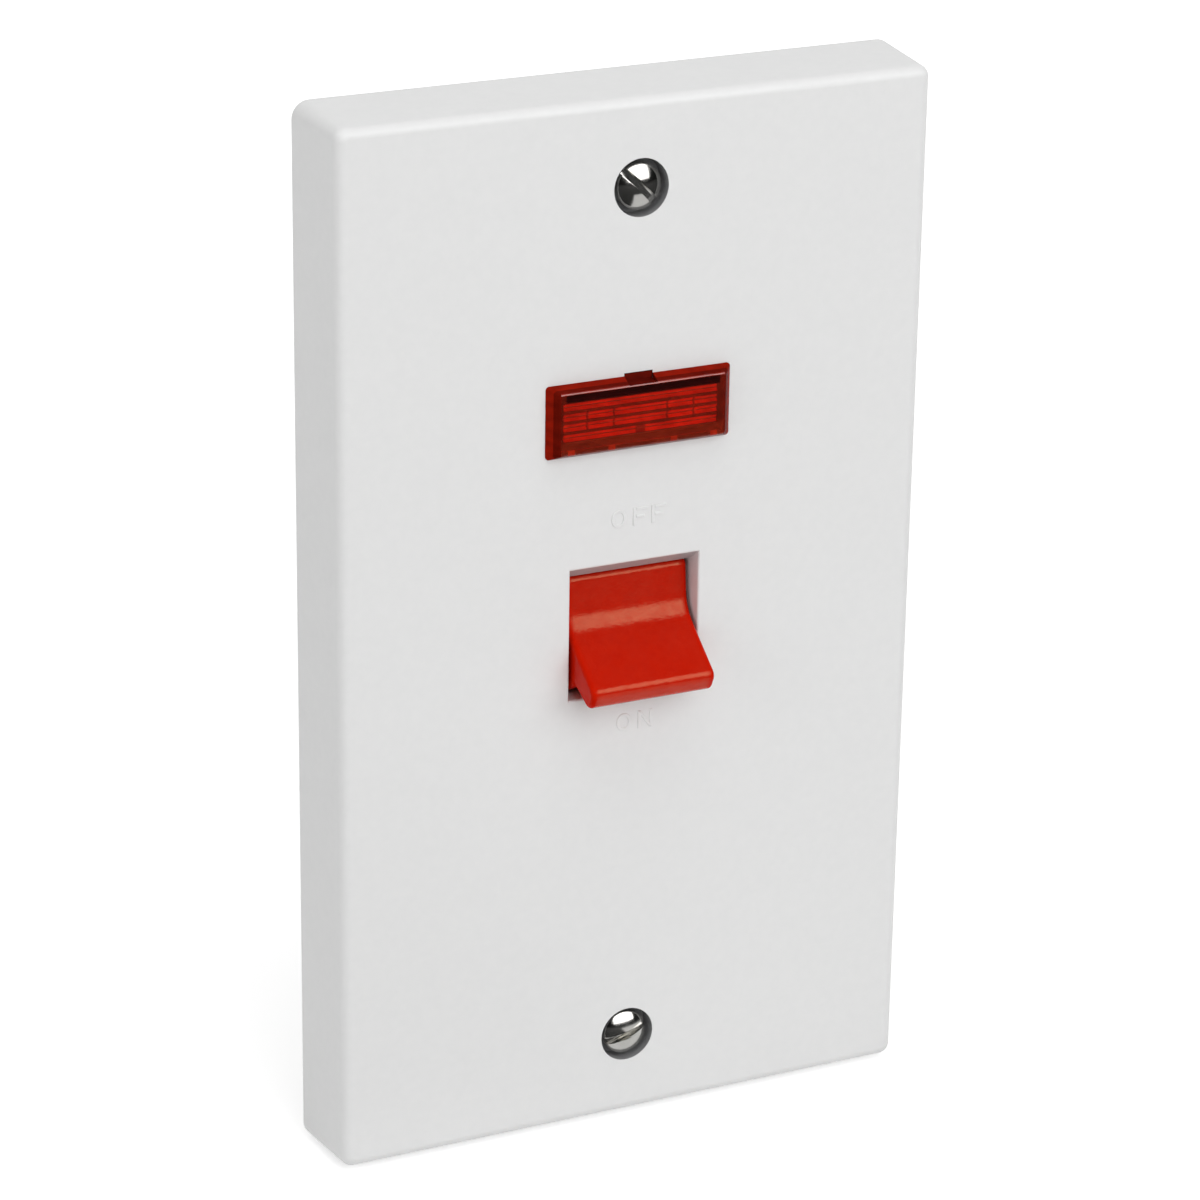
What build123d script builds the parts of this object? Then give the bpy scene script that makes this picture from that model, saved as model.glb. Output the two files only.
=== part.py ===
from build123d import *
import os
from math import atan2, cos, degrees, hypot, radians, sin, sqrt, tan

# Cooker switch: a double-pole rocker with an indicator lamp on a tall double plate.
# Millimetres, +X right seen from the front, +Y into the wall, +Z up. The origin is the
# centre of the plate's outline on the wall plane, so the front face is at negative Y.
# It is modelled switched off, with the top of the rocker pressed in.

# Plate
PLATE_W = 86.0
PLATE_H = 146.0
PLATE_D = 12.5
PLATE_DRAFT = 4.2
PLATE_CORNER_R = 2.4
PLATE_INNER_R = 1.2
PLATE_EDGE_R = 1.4
FRONT_WALL = 3.0
SIDE_WALL = 2.6
RIB_W = 1.4
RIB_H = 1.4
RIB_INSET = 10.0

# Wall fixing screws
FIXING_PITCH = 120.6
FIXING_SHANK_R = 1.75
FIXING_SHANK_L = 25.0
FIXING_NECK_R = 1.55
FIXING_TIP = 0.6
FIXING_HOLE_ROOM = 0.3
FIXING_HEAD_R = 3.1
FIXING_HEAD_SIDE = 2.1
FIXING_DOME = 1.0
FIXING_PROUD = 0.35
FIXING_RECESS_ROOM = 0.8
FIXING_BOSS_WALL = 2.3
FIXING_SLOT_W = 1.0
FIXING_SLOT_D = 1.5
FIXING_SLOT_TURN_TOP = 44.9
FIXING_SLOT_TURN_BOTTOM = -18.2

# Opening in the plate for the rocker
OPENING_W = 18.9
OPENING_TOP = 9.4
OPENING_BOTTOM = 9.2
OPENING_EDGE_R = 0.3
TOP_SLOPE_DEPTH = 2.65
TOP_SLOPE_DROP = 1.95
SHROUD_ROOM = 0.6
SHROUD_WALL = 1.8
CHEEK_T = 3.0

# Rocker: heights are from the opening's centre, and proud is measured from the front face
ROCKER_SIDE_GAP = 0.4
ROCKER_TOP_GAP = 0.38
ROCKER_TOP_SINK = 2.67
PAD_LEAN = 5.3
RAMP_ANGLE = 36.6
RAMP_START_Z = 0.64
HOLLOW_R = 5.0
LIP_PROUD = 6.75
LIP_FACE_LEAN = 25.5
LIP_BOTTOM = 8.93
LIP_NOSE_R = 1.3
LIP_HEEL_R = 1.4
LIP_UNDERCUT = 25.4
DRUM_GAP = 0.42
ROCKER_BACK = 3.2
ROCKER_WALL = 1.9
ROCKER_SIDE_R = 0.6
CREST_R = 1.0
PIVOT_DEPTH = 5.8
TRUNNION_R = 2.0
TRUNNION_REACH = 2.3
BEARING_CLEAR = 0.05
ROCKER_SWING = 12.0

# Plungers and their springs
POLE_X = 5.2
PLUNGER_R = 1.75
PLUNGER_CLEAR = 0.05
PLUNGER_TIP = 14.0
PLUNGER_L = 11.2
PLUNGER_NOSE_R = 1.7
PLUNGER_TUBE_R = 2.95
PLUNGER_TUBE_END = 8.4
BORE_FLOOR = 1.0
SPRING_WIRE = 0.5
SPRING_CLEAR = 0.12
SPRING_TURNS = 4.5
PLUNGER_REST_GAP = 0.1

# See-saw contact arms
ARM_SWING = 14.0
ARM_W = 5.5
ARM_T = 2.0
ARM_LIFT = 0.2
ARM_END_ROOM = 2.3
ARM_SHORT = 7.6
ARM_END_R = 2.5
FULCRUM_R = 1.0
FULCRUM_CLEAR = 0.05
CONTACT_S = 12.3
CONTACT_R = 1.9
CONTACT_T = 0.9
CONTACT_EDGE = 0.3
CONTACT_DOME_R = 4.2
RIVET_R = 1.0
RIVET_HEAD_R = 1.6
RIVET_HEAD_T = 0.5
CONTACT_GAP_CLOSED = 0.07

# Terminals
STRIP_T = 1.6
STRIP_DROP = 0.85
EAR_T = 0.9
EAR_CLEAR = 0.15
EAR_H = 2.2
TERMINAL_X = 8.0
TERMINAL_W = 9.5
TERMINAL_L = 10.9
TERMINAL_START = 16.5
TERMINAL_BORE_R = 3.2
TERMINAL_BORE_L = 9.3
TERMINAL_THREAD_WALL = 3.1
TERMINAL_NEAR_WALL = 1.0
TERMINAL_SCREW_R = 2.0
TERMINAL_SCREW_L = 4.6
TERMINAL_HEAD_R = 3.0
TERMINAL_HEAD_T = 2.0
SLOT_W = 0.9
SLOT_D = 0.8
SLOT_TURN = 35.0
SLOT_TURN_STEP = 20.0
HEAD_EDGE = 0.5

# Base
BASE_WALL = 2.6
BASE_FLOOR = 2.5
BASE_END_WALL = 1.1
BASE_PAD = 2.2
BASE_EDGE_R = 0.6
BASE_CORE_INSET = 1.6
BARRIER_T = 1.8
CHAMBER_ROOM = 0.2
POCKET_WALL = 1.7
POCKET_SIDE_WALL = 2.25
POCKET_DEPTH = 10.0
POCKET_NEAR = 4.0
POCKET_FAR = 14.0
LEDGE_END = 8.2
FIT = 0.1
MOUTH_ROOM = 0.5
SCREW_WELL_ROOM = 0.4
EAR_REACH = 4.15
EAR_Z = 11.0
EAR_R = 3.6
EAR_DEPTH = 4.0
BASE_SCREW_R = 1.25
BASE_SCREW_L = 10.4
BASE_SCREW_HEAD_R = 2.4
BASE_SCREW_HEAD_T = 1.7
BASE_BOSS_R = 3.3
POST_W = 4.0
POST_H = 4.4
POST_INSET = 0.7

# Indicator
LENS_Z = 30.2
LENS_W = 26.6
LENS_H = 10.0
LENS_EDGE = 0.15
LENS_CORNER_R = 0.5
LENS_PROUD = 1.7
LENS_SIDE_BEVEL = 1.36
LENS_TOP_BEVEL = 0.79
LENS_PANEL_CORNER_R = 0.45
LENS_PANEL_R = 0.3
LENS_PANEL_T = 1.2
LENS_LAP = 1.1
LENS_SKIRT_T = 1.1
LENS_SKIRT_L = 6.0
LENS_RIB_PITCH = 1.4
LENS_RIB_H = 0.5
LENS_RIB_COUNT = 4
NOTCH_W = 4.1
NOTCH_RISE = 0.4
HOOK_X = 7.5
HOOK_W = 4.0
HOOK_H = 0.5
HOOK_L = 1.4
LAMP_R = 2.3
LAMP_END_ROOM = 6.7
LAMP_GLASS = 0.4
LAMP_END_R = 2.0
LAMP_SINK = 3.9
ELECTRODE_R = 0.35
ELECTRODE_SPLIT = 0.75
ELECTRODE_IN = 7.5
TAIL_OUT = 2.6
TAIL_BEND_R = 0.9
COLLAR_T = 1.4
COLLAR_END = 4.5
COLLAR_ROOM = 1.0
COLLAR_CORNER_R = 0.7
CARRIER_FIT = 0.12
CARRIER_FLANGE = 1.4
SADDLE_INSET = 1.9
SADDLE_T = 1.6
SADDLE_CLEAR = 0.05
RESISTOR_R = 1.1
RESISTOR_L = 6.4
RESISTOR_END_R = 1.3
RESISTOR_CAP = 1.3
RESISTOR_WIRE_R = 0.3
LEAD_R = 0.75
LEAD_INSET = 1.3
LEAD_END_INSET = 1.85
LEAD_RISE = 1.6
LEAD_BEND_R = 1.5

# Earth terminal
EARTH_INSET = 12.0
EARTH_Z = -30.0
EARTH_W = 13.4
EARTH_L = 8.0
EARTH_SEAT = 4.0
EARTH_BORE_R = 2.3
EARTH_BORE_Y = 3.0
EARTH_BORE_SPLIT = 6.6
EARTH_THREAD_WALL = 2.6
EARTH_SCREW_R = 1.7
EARTH_SCREW_L = 4.4
EARTH_HEAD_R = 2.8
EARTH_HEAD_T = 1.8
EARTH_POCKET_T = 1.4
EARTH_POCKET_H = 6.0

# Places that follow from the sizes above
FACE_Y = -PLATE_D
LINER_Y = FACE_Y + FRONT_WALL
BASE_FRONT_Y = 0.0
PIVOT_Y = FACE_Y + PIVOT_DEPTH
THROAT_Z = OPENING_TOP - TOP_SLOPE_DROP
ROCKER_W = OPENING_W - 2 * ROCKER_SIDE_GAP
ROCKER_TOP = THROAT_Z - ROCKER_TOP_GAP
DRUM_TOP_R = hypot(ROCKER_TOP, PIVOT_DEPTH - ROCKER_TOP_SINK)
DRUM_LOW_R = hypot(OPENING_BOTTOM, PIVOT_DEPTH - FRONT_WALL) - DRUM_GAP
SHROUD_TOP = hypot(DRUM_TOP_R, ROCKER_BACK) + SHROUD_ROOM
SHROUD_BOTTOM = DRUM_LOW_R + SHROUD_ROOM
FIXING_Z = FIXING_PITCH / 2
FIXING_HOLE_R = FIXING_SHANK_R + FIXING_HOLE_ROOM
FIXING_RECESS_R = FIXING_HEAD_R + FIXING_RECESS_ROOM
FIXING_BOSS_R = FIXING_RECESS_R + FIXING_BOSS_WALL
FIXING_SEAT_Y = FACE_Y - FIXING_PROUD + FIXING_DOME + FIXING_HEAD_SIDE
ARM_LONG = CONTACT_S + ARM_END_ROOM
PLUNGER_REST = -ROCKER_SWING / 2
ARM_REST = -ARM_SWING / 2
FULCRUM_Y = PIVOT_Y + PLUNGER_TIP + PLUNGER_REST_GAP + ARM_T + ARM_LIFT
STRIP_Y = FULCRUM_Y + STRIP_DROP
LEDGE_Y = STRIP_Y + STRIP_T
CLOSED = radians(ARM_SWING / 2)
DOME_LIFT = CONTACT_DOME_R - CONTACT_T + ARM_LIFT
CONTACT_Y = (FULCRUM_Y + CONTACT_S * sin(CLOSED) - DOME_LIFT * cos(CLOSED)
             + CONTACT_DOME_R + CONTACT_GAP_CLOSED)
CONTACT_Z = CONTACT_S * cos(CLOSED) + DOME_LIFT * sin(CLOSED)
TONGUE_Y = CONTACT_Y + CONTACT_T
FLOOR_Y = TONGUE_Y + STRIP_T
BASE_REAR_Y = FLOOR_Y + BASE_FLOOR
PAD_REAR_Y = BASE_REAR_Y + BASE_PAD
TERMINAL_BORE_Y = FLOOR_Y - TERMINAL_THREAD_WALL - TERMINAL_BORE_R
TERMINAL_NEAR_Y = TERMINAL_BORE_Y - TERMINAL_BORE_R - TERMINAL_NEAR_WALL
TERMINAL_END = TERMINAL_START + TERMINAL_L
TERMINAL_MID = TERMINAL_END - TERMINAL_BORE_L / 2
BASE_HALF_H = TERMINAL_END + FIT + BASE_END_WALL
BASE_HALF_W = TERMINAL_X + TERMINAL_W / 2 + FIT + BASE_WALL
EAR_X = BASE_HALF_W + EAR_REACH
POST_Z = TERMINAL_START + POST_INSET + POST_H / 2
CHAMBER_OUT = POLE_X + ARM_W / 2 + EAR_CLEAR + EAR_T + CHAMBER_ROOM
POCKET_IN = CHAMBER_OUT + POCKET_WALL
POCKET_OUT = BASE_HALF_W - POCKET_SIDE_WALL
MOUTH_R = TERMINAL_BORE_R + MOUTH_ROOM
SCREW_WELL_R = TERMINAL_HEAD_R + SCREW_WELL_ROOM
LENS_SKIRT_W = LENS_W - 2 * LENS_LAP
LENS_SKIRT_H = LENS_H - 2 * LENS_LAP
LENS_TOP = LENS_Z + LENS_H / 2
LENS_FRONT_Y = FACE_Y - LENS_PROUD
LENS_INNER_Y = LENS_FRONT_Y + LENS_PANEL_T
SKIRT_END_Y = FACE_Y + LENS_SKIRT_L
LAMP_Y = FACE_Y + LAMP_SINK
LAMP_L = LENS_SKIRT_W - 2 * LAMP_END_ROOM
SADDLE_X = LAMP_L / 2 - SADDLE_INSET
COLLAR_Y = -COLLAR_END
COLLAR_W = LENS_SKIRT_W + 2 * COLLAR_ROOM
COLLAR_H = LENS_SKIRT_H + 2 * COLLAR_ROOM
CARRIER_BACK_Y = COLLAR_Y + CARRIER_FLANGE
RESISTOR_Z = LENS_Z + ELECTRODE_SPLIT
LEAD_X = LENS_SKIRT_W / 2 - LEAD_INSET
LEAD_END_X = TERMINAL_X + TERMINAL_W / 2 - LEAD_END_INSET
LEAD_Y = CARRIER_BACK_Y + LEAD_RISE
TAIL_X = LAMP_L / 2 + TAIL_OUT
EARTH_X = PLATE_W / 2 - EARTH_INSET
EARTH_SEAT_Y = LINER_Y + EARTH_SEAT
EARTH_TOP_Y = EARTH_BORE_Y + EARTH_BORE_R + EARTH_THREAD_WALL
SAME_PLACE = 0.001
SIDES = (("left", -1), ("right", 1))
ENDS = (1, -1)


# Boxes and rods laid along the axes
def block(x0, x1, y0, y1, z0, z1):
    size = (abs(x1 - x0), abs(y1 - y0), abs(z1 - z0))
    return Pos((x0 + x1) / 2, (y0 + y1) / 2, (z0 + z1) / 2) * Box(*size)


def rod_x(radius, x0, x1, y, z):
    return Pos((x0 + x1) / 2, y, z) * Rot(0, 90, 0) * Cylinder(radius, abs(x1 - x0))


def rod_y(radius, x, y0, y1, z):
    return Pos(x, (y0 + y1) / 2, z) * Rot(90, 0, 0) * Cylinder(radius, abs(y1 - y0))


def rod_z(radius, x, y, z0, z1):
    return Pos(x, y, (z0 + z1) / 2) * Cylinder(radius, abs(z1 - z0))


# A face drawn in the YZ plane and drawn out along X
def slab_x(face, x0, x1):
    return extrude(Plane.YZ.offset(min(x0, x1)) * face, abs(x1 - x0))


# A rounded rectangle that faces the front, and a block drawn out from it towards the front
def front_outline(width, height, radius, y, z=0.0):
    plane = Plane(origin=(0, y, z), x_dir=(1, 0, 0), z_dir=(0, -1, 0))
    return plane * RectangleRounded(width, height, radius)


def front_block(width, height, radius, y_back, depth, z=0.0, taper=0.0):
    return extrude(front_outline(width, height, radius, y_back, z), depth, taper=taper)


# A point of a circle about the rocker's pivot, in the YZ plane; zero degrees points out of the wall
def polar(radius, angle):
    return (PIVOT_Y - radius * cos(radians(angle)), radius * sin(radians(angle)))


# The rocker's turning parts are drawn pointing straight back, then turned to their rest angle
def about_pivot(shape, angle):
    return shape.rotate(Axis((0, PIVOT_Y, 0), (1, 0, 0)), angle)


def about_fulcrum(shape, angle):
    return shape.rotate(Axis((0, FULCRUM_Y, 0), (1, 0, 0)), -angle)


# A screw along +Y with a slotted head on its wall side
def rear_screw(x, z, shank_r, head_r, head_t, y_seat, length, turn):
    screw = rod_y(shank_r, x, y_seat - length, y_seat, z)
    head = rod_y(head_r, x, y_seat, y_seat + head_t, z)
    head = chamfer(head.edges().sort_by(Axis.Y)[-1], HEAD_EDGE)
    slot = Box(2 * head_r + SLOT_W, 2 * SLOT_D, SLOT_W)
    return screw + head - Pos(x, y_seat + head_t, z) * Rot(0, turn, 0) * slot


# Faceplate
def plate_shell():
    shell = front_block(PLATE_W, PLATE_H, PLATE_CORNER_R, 0, PLATE_D, taper=PLATE_DRAFT)
    shell = fillet(shell.faces().sort_by(Axis.Y)[0].edges(), PLATE_EDGE_R)
    inner_w = PLATE_W - 2 * SIDE_WALL
    inner_h = PLATE_H - 2 * SIDE_WALL
    hollow = front_block(inner_w, inner_h, PLATE_INNER_R, 0, PLATE_D - FRONT_WALL, taper=PLATE_DRAFT)
    return shell - hollow


def rocker_shroud():
    half = OPENING_W / 2 + CHEEK_T
    top = SHROUD_TOP + SHROUD_WALL
    bottom = -SHROUD_BOTTOM - SHROUD_WALL
    return block(-half, half, LINER_Y, BASE_FRONT_Y, bottom, top)


def shroud_hollow():
    half = OPENING_W / 2
    return block(-half, half, LINER_Y, BASE_FRONT_Y, -SHROUD_BOTTOM, SHROUD_TOP)


def rocker_opening():
    slope_y = FACE_Y + TOP_SLOPE_DEPTH
    outline = Polyline((FACE_Y, -OPENING_BOTTOM), (FACE_Y, OPENING_TOP), (slope_y, THROAT_Z),
                       (LINER_Y, THROAT_Z), (LINER_Y, -OPENING_BOTTOM), close=True)
    return slab_x(make_face(outline), -OPENING_W / 2, OPENING_W / 2)


def trunnion_slot(side):
    x0 = side * OPENING_W / 2
    x1 = side * (OPENING_W / 2 + CHEEK_T)
    radius = TRUNNION_R + BEARING_CLEAR
    return rod_x(radius, x0, x1, PIVOT_Y, 0) + block(x0, x1, PIVOT_Y, BASE_FRONT_Y, -radius, radius)


def faceplate():
    plate = plate_shell() + rocker_shroud()
    rib_reach = PLATE_H / 2 - SIDE_WALL
    for side in (-1, 1):
        rib_x = side * (PLATE_W / 2 - RIB_INSET)
        plate += block(rib_x - RIB_W / 2, rib_x + RIB_W / 2, LINER_Y, LINER_Y + RIB_H,
                       -rib_reach + RIB_H, rib_reach - RIB_H)
    for end in ENDS:
        plate += rod_y(FIXING_BOSS_R, 0, LINER_Y, 0, end * FIXING_Z)
        for side in (-1, 1):
            plate += rod_y(BASE_BOSS_R, side * EAR_X, LINER_Y, BASE_FRONT_Y, end * EAR_Z)
            plate += block(side * POLE_X - POST_W / 2, side * POLE_X + POST_W / 2, LINER_Y,
                           TERMINAL_NEAR_Y, end * POST_Z - POST_H / 2, end * POST_Z + POST_H / 2)
    plate += front_block(COLLAR_W + 2 * COLLAR_T, COLLAR_H + 2 * COLLAR_T, COLLAR_T,
                         COLLAR_Y, COLLAR_Y - LINER_Y, LENS_Z)
    pocket_w = EARTH_W / 2 + FIT + EARTH_POCKET_T
    pocket_l = EARTH_L / 2 + FIT + EARTH_POCKET_T
    plate += block(EARTH_X - pocket_w, EARTH_X + pocket_w, LINER_Y, LINER_Y + EARTH_POCKET_H,
                   EARTH_Z - pocket_l, EARTH_Z + pocket_l)
    plate -= block(EARTH_X - EARTH_W / 2 - FIT, EARTH_X + EARTH_W / 2 + FIT, EARTH_SEAT_Y,
                   LINER_Y + EARTH_POCKET_H, EARTH_Z - EARTH_L / 2 - FIT, EARTH_Z + EARTH_L / 2 + FIT)
    plate -= shroud_hollow()
    plate -= rocker_opening()
    for side in (-1, 1):
        plate -= trunnion_slot(side)
        for end in ENDS:
            plate -= rod_y(BASE_SCREW_R, side * EAR_X, EAR_DEPTH - BASE_SCREW_L, BASE_FRONT_Y, end * EAR_Z)
    for end in ENDS:
        plate -= rod_y(FIXING_HOLE_R, 0, FACE_Y, 0, end * FIXING_Z)
        plate -= rod_y(FIXING_RECESS_R, 0, FACE_Y, FIXING_SEAT_Y, end * FIXING_Z)
    plate -= front_block(COLLAR_W, COLLAR_H, COLLAR_CORNER_R, COLLAR_Y, COLLAR_Y - LINER_Y, LENS_Z)
    window_w = LENS_SKIRT_W + 2 * FIT
    window_h = LENS_SKIRT_H + 2 * FIT
    plate -= front_block(window_w, window_h, LENS_CORNER_R, LINER_Y, FRONT_WALL, LENS_Z)
    plate -= block(-NOTCH_W / 2, NOTCH_W / 2, FACE_Y, LINER_Y, LENS_Z, LENS_TOP + NOTCH_RISE)
    rim = plate.edges().filter_by(lambda e: is_opening_rim(e))
    return fillet(rim, OPENING_EDGE_R)


# The front edges of the rocker's opening
def is_opening_rim(edge):
    middle = edge.center()
    on_face = abs(middle.Y - FACE_Y) < SAME_PLACE
    in_width = abs(middle.X) < OPENING_W / 2 + SAME_PLACE
    in_height = -OPENING_BOTTOM - SAME_PLACE < middle.Z < OPENING_TOP + SAME_PLACE
    return on_face and in_width and in_height


# Wall fixing screws: a domed slotted head, a plain neck in the plate and a thread beyond it
def fixing_screw(end, turn):
    z = end * FIXING_Z
    rim_y = FIXING_SEAT_Y - FIXING_HEAD_SIDE
    dome_r = (FIXING_HEAD_R ** 2 + FIXING_DOME ** 2) / (2 * FIXING_DOME)
    thread = rod_y(FIXING_SHANK_R, 0, 0, FIXING_SEAT_Y + FIXING_SHANK_L, z)
    thread = chamfer(thread.edges().sort_by(Axis.Y)[-1], FIXING_TIP)
    neck = rod_y(FIXING_NECK_R, 0, FIXING_SEAT_Y, 0, z)
    ball = Pos(0, rim_y - FIXING_DOME + dome_r, z) * Sphere(dome_r)
    head = rod_y(FIXING_HEAD_R, 0, rim_y - FIXING_DOME, FIXING_SEAT_Y, z) & ball
    slot = Box(2 * FIXING_HEAD_R + FIXING_SLOT_W, 2 * FIXING_SLOT_D, FIXING_SLOT_W)
    return thread + neck + head - Pos(0, rim_y - FIXING_DOME, z) * Rot(0, turn, 0) * slot


def fixing_screws():
    return [fixing_screw(1, FIXING_SLOT_TURN_TOP), fixing_screw(-1, FIXING_SLOT_TURN_BOTTOM)]


# Rocker: the side outline runs down the pad, out along the lip and back round the drum
def rocker_outline(back):
    top = (FACE_Y + ROCKER_TOP_SINK, ROCKER_TOP)
    root_rise = (ROCKER_TOP - RAMP_START_Z) * tan(radians(PAD_LEAN))
    root = (top[0] - root_rise, RAMP_START_Z)
    nose_y = FACE_Y - LIP_PROUD
    nose = (nose_y, RAMP_START_Z - (root[0] - nose_y) * tan(radians(RAMP_ANGLE)))
    heel = (nose_y + (nose[1] + LIP_BOTTOM) * tan(radians(LIP_FACE_LEAN)), -LIP_BOTTOM)
    along = (cos(radians(LIP_UNDERCUT)), sin(radians(LIP_UNDERCUT)))
    start = (heel[0] - PIVOT_Y, heel[1])
    half = start[0] * along[0] + start[1] * along[1]
    travel = -half - sqrt(half ** 2 - start[0] ** 2 - start[1] ** 2 + DRUM_LOW_R ** 2)
    under = (heel[0] + travel * along[0], heel[1] + travel * along[1])
    under_angle = degrees(atan2(under[1], PIVOT_Y - under[0]))
    top_angle = degrees(atan2(top[1], PIVOT_Y - top[0]))
    front = FilletPolyline(top, root, nose, heel, under, radius=[HOLLOW_R, LIP_NOSE_R, LIP_HEEL_R])
    low = ThreePointArc(under, polar(DRUM_LOW_R, (under_angle - 90) / 2), polar(DRUM_LOW_R, -90))
    high = ThreePointArc(polar(DRUM_TOP_R, 90), polar(DRUM_TOP_R, (top_angle + 90) / 2), top)
    rear = Polyline(polar(DRUM_LOW_R, -90), (PIVOT_Y + back, -DRUM_LOW_R),
                    (PIVOT_Y + back, DRUM_TOP_R), polar(DRUM_TOP_R, 90))
    return make_face([front, low, rear, high])


# The top edge of the pad
def is_crest_edge(edge):
    middle = edge.center()
    return hypot(middle.Y - FACE_Y - ROCKER_TOP_SINK, middle.Z - ROCKER_TOP) < SAME_PLACE


# Edges of the rocker's two sides that can be touched from the front
def is_front_edge(edge):
    middle = edge.center()
    return abs(middle.X) > ROCKER_W / 2 - ROCKER_SIDE_R and middle.Y < PIVOT_Y - TRUNNION_R


def rocker():
    half = ROCKER_W / 2
    body = slab_x(rocker_outline(ROCKER_BACK), -half, half)
    body = fillet(body.edges().filter_by(lambda e: is_crest_edge(e)), CREST_R)
    body = fillet(body.edges().filter_by(lambda e: is_front_edge(e)), ROCKER_SIDE_R)
    core = offset(rocker_outline(ROCKER_BACK + 2 * ROCKER_WALL), amount=-ROCKER_WALL)
    body -= slab_x(core, -half + ROCKER_WALL, half - ROCKER_WALL)
    for side in (-1, 1):
        tube = rod_y(PLUNGER_TUBE_R, side * POLE_X, PIVOT_Y - BORE_FLOOR - ROCKER_WALL / 2,
                     PIVOT_Y + PLUNGER_TUBE_END, 0)
        body += about_pivot(tube, PLUNGER_REST)
        body += rod_x(TRUNNION_R, side * (half - ROCKER_WALL), side * (half + TRUNNION_REACH), PIVOT_Y, 0)
    for side in (-1, 1):
        bore = rod_y(PLUNGER_R + PLUNGER_CLEAR, side * POLE_X, PIVOT_Y - BORE_FLOOR,
                     PIVOT_Y + PLUNGER_TUBE_END, 0)
        body -= about_pivot(bore, PLUNGER_REST)
    return body


# Plunger: a plain pin with a round nose, pointing back and down at rest
def plunger(side):
    tip_y = PIVOT_Y + PLUNGER_TIP
    pin = rod_y(PLUNGER_R, side * POLE_X, tip_y - PLUNGER_L, tip_y, 0)
    nose = pin.edges().sort_by(Axis.Y)[-1]
    return about_pivot(fillet(nose, PLUNGER_NOSE_R), PLUNGER_REST)


# Coil spring of square wire between the bore's floor and the plunger
def plunger_spring(side):
    start_y = PIVOT_Y - BORE_FLOOR + SPRING_WIRE / 2
    length = PLUNGER_TIP - PLUNGER_L + BORE_FLOOR - SPRING_WIRE
    mean_r = PLUNGER_R - SPRING_CLEAR - SPRING_WIRE / 2
    path = Helix(length / SPRING_TURNS, length, mean_r)
    wire = Plane(origin=path @ 0, z_dir=path % 0, x_dir=(1, 0, 0)) * Rectangle(SPRING_WIRE, SPRING_WIRE)
    coil = sweep(wire, path=path, is_frenet=True)
    coil = Pos(side * POLE_X, start_y, 0) * Rot(-90, 0, 0) * coil
    return about_pivot(coil, PLUNGER_REST)


# Contact arm: a bar that tips on the fulcrum in a half-round groove
def contact_arm(side):
    rear_y = FULCRUM_Y - ARM_LIFT
    front_y = rear_y - ARM_T
    x = side * POLE_X
    bar = block(x - ARM_W / 2, x + ARM_W / 2, front_y, rear_y, -ARM_SHORT, ARM_LONG)
    corners = bar.edges().filter_by(Axis.Y)
    bar = fillet(corners.sort_by(Axis.Z)[-2:], ARM_END_R)
    bar -= rod_x(FULCRUM_R + FULCRUM_CLEAR, x - ARM_W, x + ARM_W, FULCRUM_Y, 0)
    bar -= rod_y(RIVET_R, x, front_y, rear_y, CONTACT_S)
    return about_fulcrum(bar, ARM_REST)


# Moving contact: a domed button riveted through the arm
def moving_contact(side):
    x = side * POLE_X
    rear_y = FULCRUM_Y - ARM_LIFT
    front_y = rear_y - ARM_T
    ball = Pos(x, rear_y + CONTACT_T - CONTACT_DOME_R, CONTACT_S) * Sphere(CONTACT_DOME_R)
    button = rod_y(CONTACT_R, x, rear_y, rear_y + CONTACT_T, CONTACT_S) & ball
    stem = rod_y(RIVET_R, x, front_y, rear_y, CONTACT_S)
    head = rod_y(RIVET_HEAD_R, x, front_y - RIVET_HEAD_T, front_y, CONTACT_S)
    return about_fulcrum(button + stem + head, ARM_REST)


def fixed_contact(side):
    button = rod_y(CONTACT_R, side * POLE_X, CONTACT_Y, TONGUE_Y, CONTACT_Z)
    return chamfer(button.edges().sort_by(Axis.Y)[0], CONTACT_EDGE)


# Terminal block with a blind cable bore towards the end and a screw hole from the back
def terminal_block(side, end):
    x = side * TERMINAL_X
    half = TERMINAL_W / 2
    body = block(x - half, x + half, TERMINAL_NEAR_Y, FLOOR_Y, end * TERMINAL_START, end * TERMINAL_END)
    body -= rod_z(TERMINAL_BORE_R, x, TERMINAL_BORE_Y, end * (TERMINAL_END - TERMINAL_BORE_L),
                  end * TERMINAL_END)
    return body - rod_y(TERMINAL_SCREW_R, x, TERMINAL_BORE_Y, FLOOR_Y, end * TERMINAL_MID)


def load_terminal(side):
    x = side * POLE_X
    tongue = block(x - ARM_W / 2, x + ARM_W / 2, TONGUE_Y, FLOOR_Y, LEDGE_END + FIT, TERMINAL_START)
    return terminal_block(side, 1) + tongue


# The supply tongue carries the fulcrum, with an ear on each side that keeps the arm in line
def supply_terminal(side):
    x = side * POLE_X
    half = ARM_W / 2
    tongue = block(x - half, x + half, STRIP_Y, LEDGE_Y, -TERMINAL_START, EAR_H)
    tongue += rod_x(FULCRUM_R, x - half, x + half, FULCRUM_Y, 0)
    tongue += block(x - half, x + half, FULCRUM_Y, STRIP_Y, -FULCRUM_R, FULCRUM_R)
    ear_top = FULCRUM_Y - ARM_LIFT - ARM_T
    for way in (-1, 1):
        ear_in = x + way * (half + EAR_CLEAR)
        tongue += block(ear_in, ear_in + way * EAR_T, ear_top, LEDGE_Y, -EAR_H, EAR_H)
        tongue += block(x + way * half, ear_in, STRIP_Y, LEDGE_Y, -EAR_H, EAR_H)
    return terminal_block(side, -1) + tongue


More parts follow.
